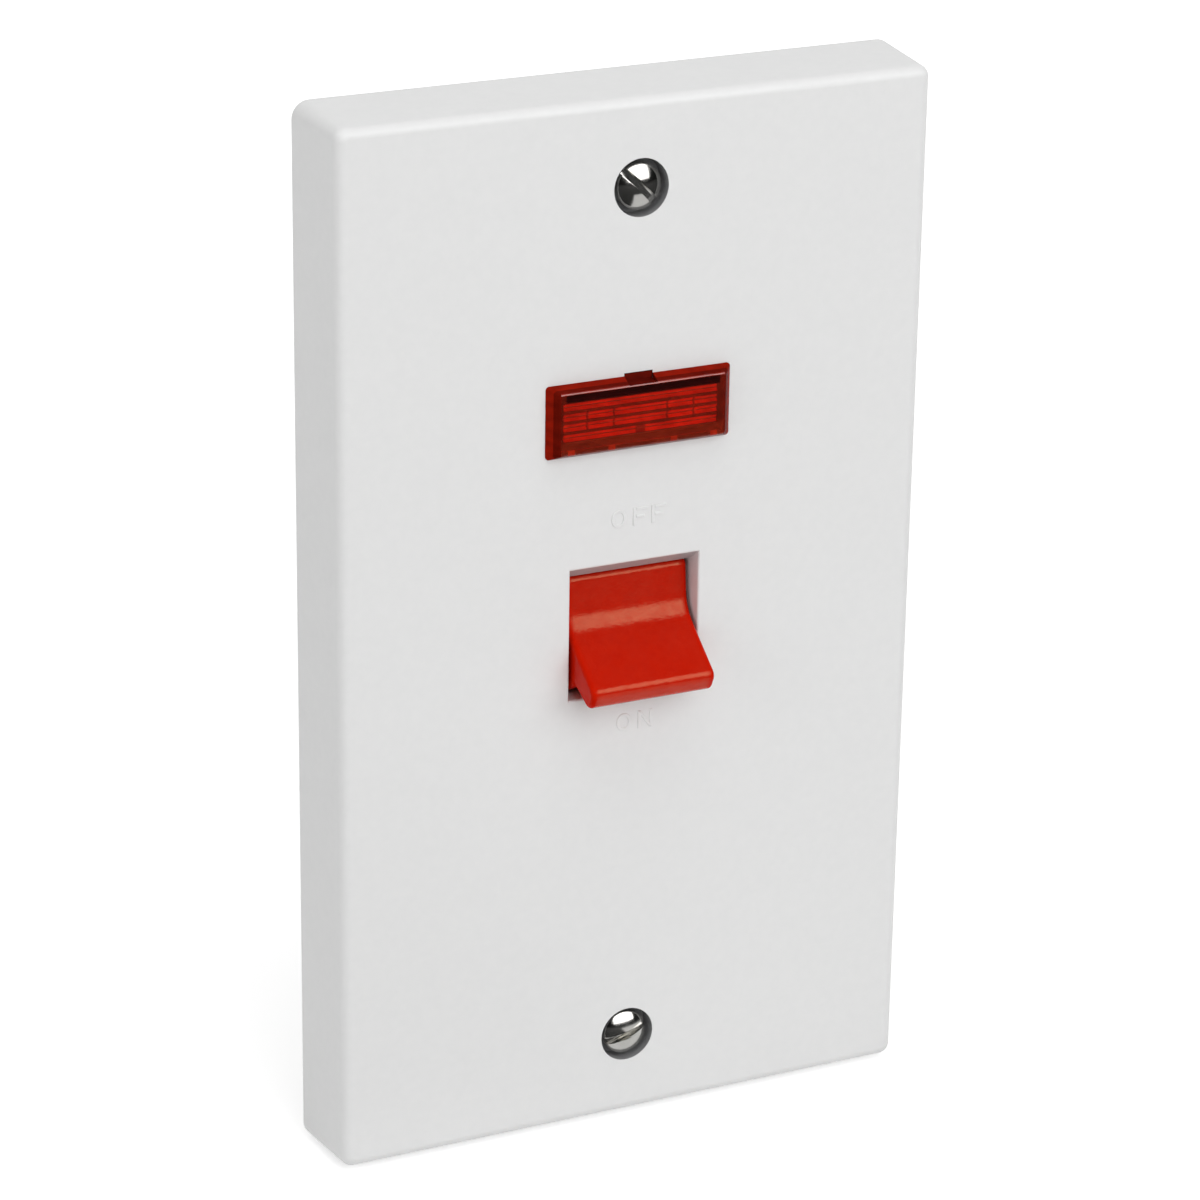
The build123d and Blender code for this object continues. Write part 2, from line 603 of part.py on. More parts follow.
def terminal_screws():
    screws = []
    for end in ENDS:
        for _, side in SIDES:
            turn = SLOT_TURN * side + SLOT_TURN_STEP * end
            tip_y = TERMINAL_BORE_Y + TERMINAL_BORE_R
            screws.append(rear_screw(side * TERMINAL_X, end * TERMINAL_MID, TERMINAL_SCREW_R,
                                     TERMINAL_HEAD_R, TERMINAL_HEAD_T, tip_y + TERMINAL_SCREW_L,
                                     TERMINAL_SCREW_L, turn))
    return screws


# Switch base: an open-fronted moulding with a chamber for each pole and a bay for each terminal
def base_pole(side):
    x_in = side * BARRIER_T / 2
    x_out = side * CHAMBER_OUT
    hollow = block(x_in, x_out, BASE_FRONT_Y, LEDGE_Y, -TERMINAL_START, TERMINAL_START)
    hollow += block(x_in, x_out, BASE_FRONT_Y, FLOOR_Y, LEDGE_END, TERMINAL_START)
    bay_in = side * (TERMINAL_X - TERMINAL_W / 2 - FIT)
    bay_out = side * (TERMINAL_X + TERMINAL_W / 2 + FIT)
    for end in ENDS:
        hollow += block(bay_in, bay_out, BASE_FRONT_Y, FLOOR_Y, end * (TERMINAL_START - FIT),
                        end * (TERMINAL_END + FIT))
        mouth_x = side * TERMINAL_X
        hollow += rod_z(MOUTH_R, mouth_x, TERMINAL_BORE_Y, end * TERMINAL_END, end * BASE_HALF_H)
        hollow += block(mouth_x - MOUTH_R, mouth_x + MOUTH_R, BASE_FRONT_Y, TERMINAL_BORE_Y,
                        end * TERMINAL_END, end * BASE_HALF_H)
        hollow += rod_y(SCREW_WELL_R, mouth_x, FLOOR_Y, PAD_REAR_Y, end * TERMINAL_MID)
        hollow += block(side * POCKET_IN, side * POCKET_OUT, BASE_FRONT_Y, POCKET_DEPTH,
                        end * POCKET_NEAR, end * POCKET_FAR)
    return hollow


# The raised rear faces round the terminal screws
def is_pad_face(face):
    return abs(face.center().Y - PAD_REAR_Y) < SAME_PLACE


def trunnion_keeper(side):
    x0 = side * (OPENING_W / 2 + FIT)
    x1 = side * (OPENING_W / 2 + CHEEK_T - FIT)
    half = TRUNNION_R
    keeper = block(x0, x1, PIVOT_Y, BASE_FRONT_Y, -half, half)
    return keeper - rod_x(TRUNNION_R + BEARING_CLEAR, x0, x1, PIVOT_Y, 0)


def switch_base():
    base = block(-BASE_HALF_W, BASE_HALF_W, BASE_FRONT_Y, BASE_REAR_Y, -BASE_HALF_H, BASE_HALF_H)
    for end in ENDS:
        base += block(-BASE_HALF_W, BASE_HALF_W, BASE_REAR_Y, PAD_REAR_Y,
                      end * TERMINAL_START, end * BASE_HALF_H)
    base = fillet(base.edges().filter_by(Axis.Y), BASE_EDGE_R)
    base = fillet(base.faces().filter_by(lambda f: is_pad_face(f)).edges(), BASE_EDGE_R)
    base += block(-BARRIER_T / 2, BARRIER_T / 2, BASE_REAR_Y, PAD_REAR_Y - BASE_EDGE_R,
                  -TERMINAL_START, TERMINAL_START)
    for side in (-1, 1):
        for end in ENDS:
            base += rod_y(EAR_R, side * EAR_X, BASE_FRONT_Y, EAR_DEPTH, end * EAR_Z)
            base += block(side * BASE_HALF_W, side * EAR_X, BASE_FRONT_Y, EAR_DEPTH,
                          end * EAR_Z - EAR_R, end * EAR_Z + EAR_R)
    for side in (-1, 1):
        base -= base_pole(side)
        base -= block(side * (BARRIER_T / 2 + BASE_CORE_INSET), side * CHAMBER_OUT, LEDGE_Y + BASE_FLOOR,
                      BASE_REAR_Y, BASE_CORE_INSET - TERMINAL_START, LEDGE_END - BASE_CORE_INSET)
        for end in ENDS:
            base -= rod_y(BASE_SCREW_R + FIT, side * EAR_X, BASE_FRONT_Y, EAR_DEPTH, end * EAR_Z)
    for side in (-1, 1):
        base += trunnion_keeper(side)
    return base


def base_screws():
    screws = []
    for end in ENDS:
        for _, side in SIDES:
            turn = SLOT_TURN * side - SLOT_TURN_STEP * end
            screws.append(rear_screw(side * EAR_X, end * EAR_Z, BASE_SCREW_R, BASE_SCREW_HEAD_R,
                                     BASE_SCREW_HEAD_T, EAR_DEPTH, BASE_SCREW_L, turn))
    return screws


# Lens cap: a raised panel with bevelled sides, cut away in the middle of its top edge
def lens_cap():
    edge_y = FACE_Y - LENS_EDGE
    panel_w = LENS_W - 2 * LENS_SIDE_BEVEL
    panel_h = LENS_H - 2 * LENS_TOP_BEVEL
    foot = front_outline(LENS_W, LENS_H, LENS_CORNER_R, edge_y, LENS_Z)
    panel = front_outline(panel_w, panel_h, LENS_PANEL_CORNER_R, LENS_FRONT_Y, LENS_Z)
    cap = loft([foot, panel])
    cap = fillet(cap.faces().sort_by(Axis.Y)[0].edges(), LENS_PANEL_R)
    cap += front_block(LENS_W, LENS_H, LENS_CORNER_R, FACE_Y, LENS_EDGE, LENS_Z)
    return cap - block(-NOTCH_W / 2, NOTCH_W / 2, LENS_FRONT_Y, FACE_Y, LENS_TOP - LENS_TOP_BEVEL, LENS_TOP)


# The tab that fills the plate's notch behind the cut, where a tool can lift the lens out
def lens_tab():
    half = NOTCH_W / 2 - FIT
    low = LENS_Z + (LENS_SKIRT_H - LENS_SKIRT_T) / 2
    return block(-half, half, FACE_Y, LINER_Y - FIT, low, LENS_TOP + NOTCH_RISE - FIT)


# Lens: the cap with ribs inside its front, a skirt and four snap hooks
def neon_lens():
    lens = lens_cap() + lens_tab()
    lens += front_block(LENS_SKIRT_W, LENS_SKIRT_H, LENS_CORNER_R, SKIRT_END_Y, LENS_SKIRT_L, LENS_Z)
    inner_w = LENS_SKIRT_W - 2 * LENS_SKIRT_T
    inner_h = LENS_SKIRT_H - 2 * LENS_SKIRT_T
    lens -= front_block(inner_w, inner_h, LENS_CORNER_R, SKIRT_END_Y, SKIRT_END_Y - LENS_INNER_Y, LENS_Z)
    for i in range(LENS_RIB_COUNT):
        z = LENS_Z + (i - (LENS_RIB_COUNT - 1) / 2) * LENS_RIB_PITCH
        ridge = Polyline((LENS_INNER_Y, z - LENS_RIB_H), (LENS_INNER_Y + LENS_RIB_H, z),
                         (LENS_INNER_Y, z + LENS_RIB_H), close=True)
        lens += slab_x(make_face(ridge), -inner_w / 2, inner_w / 2)
    for end in ENDS:
        for side in (-1, 1):
            z0 = LENS_Z + end * LENS_SKIRT_H / 2
            hook = Polyline((LINER_Y, z0), (LINER_Y, z0 + end * HOOK_H), (LINER_Y + HOOK_L, z0), close=True)
            x = side * HOOK_X
            lens += slab_x(make_face(hook), x - HOOK_W / 2, x + HOOK_W / 2)
    return lens


# Lamp: a sealed glass tube with two electrodes through its right-hand end
def lamp_envelope(inset):
    half = LAMP_L / 2 - inset
    tube = rod_x(LAMP_R - inset, -half, half, LAMP_Y, LENS_Z)
    return fillet(tube.edges().filter_by(GeomType.CIRCLE).sort_by(Axis.X)[0], LAMP_END_R - inset)


def neon_lamp():
    glass = lamp_envelope(0) - lamp_envelope(LAMP_GLASS)
    for way in (-1, 1):
        glass -= rod_x(ELECTRODE_R, 0, LAMP_L, LAMP_Y, LENS_Z + way * ELECTRODE_SPLIT)
    return glass


# The upper tail stops at the resistor's wire, and the lower one turns along the carrier to its lead
def lamp_electrode(way):
    z = LENS_Z + way * ELECTRODE_SPLIT
    points = [(LAMP_L / 2 - ELECTRODE_IN, LAMP_Y, z), (TAIL_X, LAMP_Y, z), (TAIL_X, CARRIER_BACK_Y, z)]
    if way < 0:
        points.append((LEAD_X - LEAD_R, CARRIER_BACK_Y, z))
    path = FilletPolyline(*points, radius=TAIL_BEND_R)
    start = Plane(origin=path @ 0, z_dir=path % 0)
    return sweep(start * Circle(ELECTRODE_R), path=path)


def lamp_electrodes():
    return [lamp_electrode(-1), lamp_electrode(1)]


# Carrier: plugs into the collar behind the lens, with two saddles for the lamp
def lamp_carrier():
    plug_w = COLLAR_W - 2 * CARRIER_FIT
    plug_h = COLLAR_H - 2 * CARRIER_FIT
    flange_w = COLLAR_W + 2 * COLLAR_T
    flange_h = COLLAR_H + 2 * COLLAR_T
    front_y = SKIRT_END_Y + FIT
    carrier = front_block(flange_w, flange_h, COLLAR_T, CARRIER_BACK_Y, CARRIER_FLANGE, LENS_Z)
    carrier += front_block(plug_w, plug_h, COLLAR_CORNER_R, COLLAR_Y, COLLAR_Y - front_y, LENS_Z)
    for side in (-1, 1):
        x = side * SADDLE_X
        carrier += block(x - SADDLE_T / 2, x + SADDLE_T / 2, LAMP_Y, front_y,
                         LENS_Z - LAMP_R, LENS_Z + LAMP_R)
    carrier -= rod_x(LAMP_R + SADDLE_CLEAR, -LAMP_L, LAMP_L, LAMP_Y, LENS_Z)
    for way in (-1, 1):
        z = LENS_Z + way * ELECTRODE_SPLIT
        carrier -= block(TAIL_X - TAIL_BEND_R, TAIL_X + ELECTRODE_R, front_y, CARRIER_BACK_Y,
                         z - ELECTRODE_R, z + ELECTRODE_R)
        carrier -= rod_y(LEAD_R, -way * LEAD_X, COLLAR_Y, CARRIER_BACK_Y, z)
    low_z = LENS_Z - ELECTRODE_SPLIT
    carrier -= block(TAIL_X, LEAD_X, CARRIER_BACK_Y - TAIL_BEND_R, CARRIER_BACK_Y,
                     low_z - ELECTRODE_R, low_z + ELECTRODE_R)
    carrier -= rod_x(RESISTOR_WIRE_R, -LEAD_X, TAIL_X, CARRIER_BACK_Y, RESISTOR_Z)
    return carrier - rod_x(RESISTOR_END_R, -RESISTOR_L, 0, CARRIER_BACK_Y, RESISTOR_Z)


# Resistor: lies with its wires in a groove in the back of the carrier
def ballast_resistor():
    body = rod_x(RESISTOR_R, -RESISTOR_L, 0, CARRIER_BACK_Y, RESISTOR_Z)
    body += rod_x(RESISTOR_END_R, -RESISTOR_L, RESISTOR_CAP - RESISTOR_L, CARRIER_BACK_Y, RESISTOR_Z)
    body += rod_x(RESISTOR_END_R, -RESISTOR_CAP, 0, CARRIER_BACK_Y, RESISTOR_Z)
    wire_start = LEAD_R - LEAD_X
    wire_end = TAIL_X - ELECTRODE_R
    return body + rod_x(RESISTOR_WIRE_R, wire_start, wire_end, CARRIER_BACK_Y, RESISTOR_Z)


# Leads: out of the carrier, down behind the plate and on to the front of the load terminal
def neon_lead(side):
    x = side * LEAD_X
    end_x = side * LEAD_END_X
    z = LENS_Z - side * ELECTRODE_SPLIT
    path = FilletPolyline((x, COLLAR_Y, z), (x, LEAD_Y, z), (end_x, LEAD_Y, TERMINAL_MID),
                          (end_x, TERMINAL_NEAR_Y, TERMINAL_MID), radius=LEAD_BEND_R)
    start = Plane(origin=path @ 0, z_dir=path % 0)
    return sweep(start * Circle(LEAD_R), path=path)


# Earth terminal: a twin pillar block in a moulded pocket on the back of the plate
def earth_terminal():
    half_w = EARTH_W / 2
    half_l = EARTH_L / 2
    body = block(EARTH_X - half_w, EARTH_X + half_w, EARTH_SEAT_Y, EARTH_TOP_Y,
                 EARTH_Z - half_l, EARTH_Z + half_l)
    for way in (-1, 1):
        x = EARTH_X + way * EARTH_BORE_SPLIT / 2
        body -= rod_z(EARTH_BORE_R, x, EARTH_BORE_Y, EARTH_Z - half_l, EARTH_Z + half_l)
        body -= rod_y(EARTH_SCREW_R, x, EARTH_BORE_Y, EARTH_TOP_Y, EARTH_Z)
    return body


def earth_screws():
    screws = []
    tip_y = EARTH_BORE_Y + EARTH_BORE_R
    for way in (-1, 1):
        x = EARTH_X + way * EARTH_BORE_SPLIT / 2
        screws.append(rear_screw(x, EARTH_Z, EARTH_SCREW_R, EARTH_HEAD_R, EARTH_HEAD_T,
                                 tip_y + EARTH_SCREW_L, EARTH_SCREW_L, SLOT_TURN * way))
    return screws


# All nodes by name
def all_parts():
    parts = {
        "faceplate": faceplate(),
        "fixing_screws": fixing_screws(),
        "rocker": rocker(),
        "switch_base": switch_base(),
        "base_screws": base_screws(),
        "terminal_screws": terminal_screws(),
        "neon_lens": neon_lens(),
        "neon_lamp": neon_lamp(),
        "lamp_electrodes": lamp_electrodes(),
        "lamp_carrier": lamp_carrier(),
        "ballast_resistor": ballast_resistor(),
        "earth_terminal": earth_terminal(),
        "earth_screws": earth_screws(),
    }
    makers = {
        "plunger": plunger,
        "plunger_spring": plunger_spring,
        "contact_arm": contact_arm,
        "moving_contact": moving_contact,
        "fixed_contact": fixed_contact,
        "supply_terminal": supply_terminal,
        "load_terminal": load_terminal,
        "neon_lead": neon_lead,
    }
    for name, make in makers.items():
        for word, side in SIDES:
            parts[f"{name}_{word}"] = make(side)
    return parts


os.makedirs("parts", exist_ok=True)
for node, shape in all_parts().items():
    solids = shape if isinstance(shape, list) else [shape]
    children = [solid for item in solids for solid in item.solids()]
    whole = children[0] if len(children) == 1 else Compound(children=children)
    export_step(whole, f"parts/{node}.step")
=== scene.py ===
from math import cos, radians, sin, tau

import bmesh
import bpy
from mathutils import Matrix, Vector


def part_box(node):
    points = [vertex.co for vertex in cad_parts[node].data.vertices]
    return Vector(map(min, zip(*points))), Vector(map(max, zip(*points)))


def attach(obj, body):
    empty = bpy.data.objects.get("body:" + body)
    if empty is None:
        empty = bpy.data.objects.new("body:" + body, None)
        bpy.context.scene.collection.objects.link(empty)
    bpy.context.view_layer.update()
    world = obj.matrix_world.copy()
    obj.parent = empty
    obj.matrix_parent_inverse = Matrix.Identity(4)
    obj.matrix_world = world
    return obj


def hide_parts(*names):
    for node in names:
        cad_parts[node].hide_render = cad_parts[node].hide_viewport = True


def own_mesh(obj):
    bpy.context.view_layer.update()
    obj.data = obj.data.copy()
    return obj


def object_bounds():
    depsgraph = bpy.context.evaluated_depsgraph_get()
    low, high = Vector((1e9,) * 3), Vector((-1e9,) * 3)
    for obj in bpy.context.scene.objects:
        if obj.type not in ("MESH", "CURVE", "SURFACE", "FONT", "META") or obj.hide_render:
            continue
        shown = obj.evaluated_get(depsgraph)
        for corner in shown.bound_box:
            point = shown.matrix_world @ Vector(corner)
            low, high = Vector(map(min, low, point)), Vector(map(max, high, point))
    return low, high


# Looks of the cooker switch. Metres, +X right, +Y into the wall, +Z up.
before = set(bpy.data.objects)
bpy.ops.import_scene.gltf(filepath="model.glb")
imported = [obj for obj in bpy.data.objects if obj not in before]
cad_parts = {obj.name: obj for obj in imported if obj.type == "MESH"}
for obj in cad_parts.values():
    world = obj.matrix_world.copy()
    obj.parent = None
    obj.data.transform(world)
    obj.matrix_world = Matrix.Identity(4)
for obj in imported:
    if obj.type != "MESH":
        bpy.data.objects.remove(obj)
cad_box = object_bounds()

MM = 0.001
FACE_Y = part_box("faceplate")[0].y
SCREW_LOW, SCREW_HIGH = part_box("fixing_screws")

# Camera, from the photograph's perspective
CAMERA_PLACE = Vector((-0.24078, -0.49705, 0.21330))
CAMERA_YAW = radians(25.940)
CAMERA_PITCH = radians(21.175)
CAMERA_ROLL = radians(-0.831)
CAMERA_LENS = 131.42
CAMERA_SENSOR = 36.0

# Light: azimuths run from straight in front towards the right, and only the key shows in reflections
KEY = {"azimuth": 15.0, "elevation": 30.0, "distance": 1.15, "width": 1.51, "height": 0.87, "power": 9.3}
LEFT = {"azimuth": -82.0, "elevation": 16.0, "distance": 1.2, "width": 0.9, "height": 0.9, "power": 3.6}
OVERHEAD = {"azimuth": 0.0, "elevation": 82.0, "distance": 1.2, "width": 0.9, "height": 0.9, "power": 5.6}
BACK = {"azimuth": 180.0, "elevation": 8.0, "distance": 1.2, "width": 0.9, "height": 0.9, "power": 3.4}
FILL_LEVEL = 0.18
WHITE = (1.0, 1.0, 1.0, 1.0)

# Floor: its size and colour, how much brighter it is shown near and far, and where that changes
FLOOR_SIZE = 8.0
FLOOR_COLOUR = (0.80, 0.80, 0.80)
FLOOR_LIFT = (0.55, 0.90)
FLOOR_FADE = (0.25, 0.65)

# What only reflections see: a dark room, open at the back, with a grey strip and patch on its floor
ROOM_RADIUS = 3.0
ROOM_SEGMENTS = (48, 24)
ROOM_OPEN_Y = 1.1
DARK = (0.02, 0.02, 0.02)
GREY = (0.66, 0.66, 0.66)
STRIP_W = 0.012
PATCH_X = (0.012, 0.140)
PATCH_Y = -0.215
REFLECTED_LIFT = 0.0005

# Edges of new pieces: which are rounded, and which look sharp
EDGE_ANGLE = radians(40)
SHARP_ANGLE = radians(38)
ROUND_SEGMENTS = 72

# Fixing screws
HEAD_R = 3.1 * MM
HEAD_DOME = 1.0 * MM
HEAD_SIDE = 2.1 * MM
HEAD_EDGE = 0.07 * MM
HEAD_EDGE_SEGMENTS = 2
DOME_STEPS = 16
SLOT_W = 1.0 * MM
SLOT_D = 1.5 * MM
SLOT_TURNS = {"upper": radians(44.9), "lower": radians(-18.2)}
NECK_R = 1.55 * MM
THREAD_R = 1.75 * MM
THREAD_DEPTH = 0.33 * MM
THREAD_PITCH = 0.6 * MM
THREAD_TIP = 0.6 * MM
THREAD_STEPS = 6
FIXING_Z = SCREW_HIGH.z - HEAD_R

# Raised words on the plate: the left edge of each letter, and the bottom of the word
WORD_RISE = 0.13 * MM
WORD_SINK = 0.20 * MM
WORD_EDGE = 0.11 * MM
WORD_EDGE_SEGMENTS = 3
LETTER_W = 2.2 * MM
LETTER_H = 2.56 * MM
LETTER_STROKE = 0.46 * MM
WORDS = {
    "OFF": ((-3.6 * MM, -0.45 * MM, 2.25 * MM), 14.3 * MM),
    "ON": ((-2.4 * MM, 0.75 * MM), -14.8 * MM),
}

# Textures: the part of a noise's range that is used, and the detail of tints and of grain
NOISE_REACH = (0.3, 0.7)
NOISE_DETAIL = 3.0
TINT_DETAIL = 4.0
GRAIN_DETAIL = 2.0

# Plastics: the size of their mottle and grain, the grain's depth, and how many mottles make a patch of polish
MOTTLE = 1.2 * MM
GRAIN = 0.3 * MM
GRAIN_DEPTH = 0.004 * MM
POLISH_MOTTLES = 3.0

# Two tints and the roughness of each plastic, with the grain's depth and the mottle's size where they differ
PLASTICS = {
    "base_dark": (((0.022, 0.019, 0.017), (0.042, 0.035, 0.030)), (0.40, 0.55), 0.010 * MM, 2.0 * MM),
    "carrier_white": (((0.70, 0.69, 0.65), (0.74, 0.73, 0.69)), (0.42, 0.52)),
    "plunger_grey": (((0.42, 0.43, 0.44), (0.48, 0.49, 0.50)), (0.35, 0.45)),
    "lead_sleeve": (((0.66, 0.62, 0.52), (0.72, 0.68, 0.58)), (0.45, 0.60)),
}

# Two tints and the roughness of each metal, with the size and depth of its marks
METAL_MOTTLE = 1.5 * MM
FINE = 0.08 * MM
METALS = {
    "nickel": (((0.70, 0.69, 0.66), (0.78, 0.77, 0.74)), (0.10, 0.20), 0.4 * MM, 0.002 * MM),
    "nickel_wire": (((0.62, 0.60, 0.56), (0.72, 0.70, 0.66)), (0.20, 0.32), (2.0 * MM, FINE, FINE),
                    0.003 * MM),
    "zinc_steel": (((0.60, 0.61, 0.62), (0.72, 0.71, 0.66)), (0.22, 0.36), 0.3 * MM, 0.005 * MM),
    "spring_steel": (((0.45, 0.45, 0.46), (0.55, 0.55, 0.55)), (0.25, 0.35), 0.3 * MM, 0.003 * MM),
    "brass": (((0.70, 0.47, 0.17), (0.80, 0.58, 0.26)), (0.20, 0.36), (FINE, FINE, 4.0 * MM), 0.005 * MM),
    "copper": (((0.70, 0.33, 0.19), (0.82, 0.43, 0.28)), (0.22, 0.36), (FINE, FINE, 3.0 * MM), 0.004 * MM),
    "silver": (((0.78, 0.77, 0.74), (0.88, 0.87, 0.85)), (0.18, 0.30), 0.3 * MM, 0.004 * MM),
}

# Rocker: its grain, where its rounded side edges lie, the shine of its front and sides, and its blotches
ROCKER_TINTS = ((0.500, 0.0070, 0.0006), (0.530, 0.0090, 0.0009))
ROCKER_ROUGHNESS = (0.17, 0.22)
ROCKER_GRAIN = 0.40 * MM
ROCKER_GRAIN_DEPTH = 0.038 * MM
ROCKER_EDGES = (7.9 * MM, 8.5 * MM)
ROCKER_SHINE = (0.60, 0.05)
ROCKER_SHINE_TINT = (1.0, 0.8, 0.45, 1.0)
ROCKER_BLOTCH = 1.1 * MM
ROCKER_BLOTCHES = (0.80, 1.35)

# Plate, and its hollows that lie in shade: places, reach, and the painted shade that darkens them
PLATE_TINTS = ((0.772, 0.774, 0.772), (0.788, 0.789, 0.786))
PLATE_ROUGHNESS = (0.36, 0.44)
RECESS_R = 4.0 * MM
RECESS_DEPTHS = (0.05 * MM, 5.0 * MM)
SLOPE_Z = (7.4 * MM, 9.5 * MM)
SLOPE_HALF_W = 9.42 * MM
SLOPE_DEPTH = 0.25 * MM
NOTCH_Z = (34.0 * MM, 36.0 * MM)
NOTCH_HALF_W = 2.1 * MM
NOTCH_DEPTH = 0.005 * MM
PLATE_PAINTED_SHADE = ((1.0, 1.0, 1.0), (0.56, 0.53, 0.53), (0.34, 0.34, 0.35), (0.05, 0.02, 0.02))

# Lamp glass
GLASS_TINT = (0.97, 0.98, 0.97)
GLASS_ROUGHNESS = (0.01, 0.05)
GLASS_MOTTLE = 1.0 * MM
GLASS_IOR = 1.5

# Resistor: its body's ends, and where along it each band starts
RESISTOR_TIN = (0.62, 0.61, 0.58)
RESISTOR_BODY = (0.55, 0.36, 0.18)
RESISTOR_ROUGHNESS = 0.35
RESISTOR_GRAIN = 0.25 * MM
RESISTOR_ENDS = (-6.4 * MM, 0.0)
BAND_W = 0.6 * MM
BROWN = (0.10, 0.03, 0.01)
RED = (0.45, 0.02, 0.01)
GOLD = (0.55, 0.36, 0.08)
BANDS = ((0.22, BROWN), (0.40, RED), (0.74, GOLD))

# Lens: its zones, and the ribs inside its front
LENS_HALF_H = 5.0 * MM
LENS_IOR = 1.49
LENS_ROUGHNESS = (0.03, 0.06)
LENS_POLISH = 0.8 * MM
LENS_MOTTLE = (2.2 * MM, 2.2 * MM, 0.9 * MM)
LENS_BLOTCHES = (0.78, 1.16)
PANEL_DEPTH = 0.17 * MM
PANEL_HALF_W = 11.8 * MM
BEVEL_DEPTH = 0.75 * MM
LOW_RISE = -2.4 * MM
SHADE_RISE = 2.95 * MM
EDGE_RISE = 4.01 * MM
INNER_DEPTHS = (1.1 * MM, 1.75 * MM)
INNER_HALF_W = 11.1 * MM
INNER_HALF_H = 2.8 * MM
RIB_PITCH = 1.4 * MM
RIB_HALF = 0.47 * MM
RIB_CREST = 0.07 * MM
TAB_HALF_W = 2.06 * MM
TAB_RISE = 4.2 * MM

# Breaks in the painted rib reflections, and painted glints along the foot of the lens
BREAK_PITCH = 3.85 * MM
BREAK_HALF = 0.16 * MM
BREAK_REACH = (2.0 * MM, 9.0 * MM)
LOW_BREAK_HALF = 0.7 * MM
SPOT_RISE = -3.5 * MM
SPOTS = ((4.0 * MM, 5.0 * MM), (9.8 * MM, 10.8 * MM))

# Colour, clearness, shine and coat of the lens: its rest first, then its zones in the order of lens_finish
LENS_ZONES = (
    ((0.24, 0.0090, 0.003), 0.00, 0.01, 0.0),
    ((0.12, 0.0050, 0.002), 0.00, 0.01, 0.0),
    ((0.95, 0.0600, 0.020), 0.90, 0.50, 0.0),
    ((0.95, 0.0700, 0.020), 0.85, 0.50, 0.0),
    # shade: painted shadow, a dark band along the top of the front panel
    ((0.16, 0.0080, 0.004), 0.90, 0.50, 0.0),
    # edge: partly painted highlight, a lighter line along the panel's top edge, with real extra shine and
    # coat
    ((0.40, 0.0300, 0.015), 0.30, 1.00, 1.0),
    # inner: painted shade, the dark gaps between the ribs
    ((0.12, 0.0060, 0.002), 0.90, 0.50, 0.0),
    # rib: painted reflection, the bright flanks of the inner ribs
    ((0.74, 0.0560, 0.010), 0.05, 0.30, 0.0),
    # tab: painted shade, the tab in the notch
    ((0.12, 0.0060, 0.003), 0.00, 0.05, 0.0),
    # breaks: darker gaps in the painted rib reflections
    ((0.24, 0.0120, 0.003), 0.05, 0.30, 0.0),
    # spots: painted glints along the foot of the lens
    ((0.36, 0.0180, 0.005), 0.10, 0.30, 0.0),
)


# A tree of shader nodes
class Nodes:
    def __init__(self, tree):
        self.tree = tree

    def add(self, kind, **settings):
        node = self.tree.nodes.new(kind)
        for key, value in settings.items():
            setattr(node, key, value)
        return node

    def link(self, source, target):
        self.tree.links.new(source, target)

    # Arithmetic on two values, each a socket or a number
    def math(self, operation, one, two):
        node = self.add("ShaderNodeMath", operation=operation)
        for socket, value in zip(node.inputs, (one, two)):
            if isinstance(value, float):
                socket.default_value = value
            else:
                self.link(value, socket)
        return node.outputs["Value"]

    # A value that runs between two others, as the given one runs over its reach
    def spread(self, value, low, high, reach=NOISE_REACH):
        node = self.add("ShaderNodeMapRange")
        node.inputs["From Min"].default_value = reach[0]
        node.inputs["From Max"].default_value = reach[1]
        node.inputs["To Min"].default_value = low
        node.inputs["To Max"].default_value = high
        self.link(value, node.inputs["Value"])
        return node.outputs["Result"]


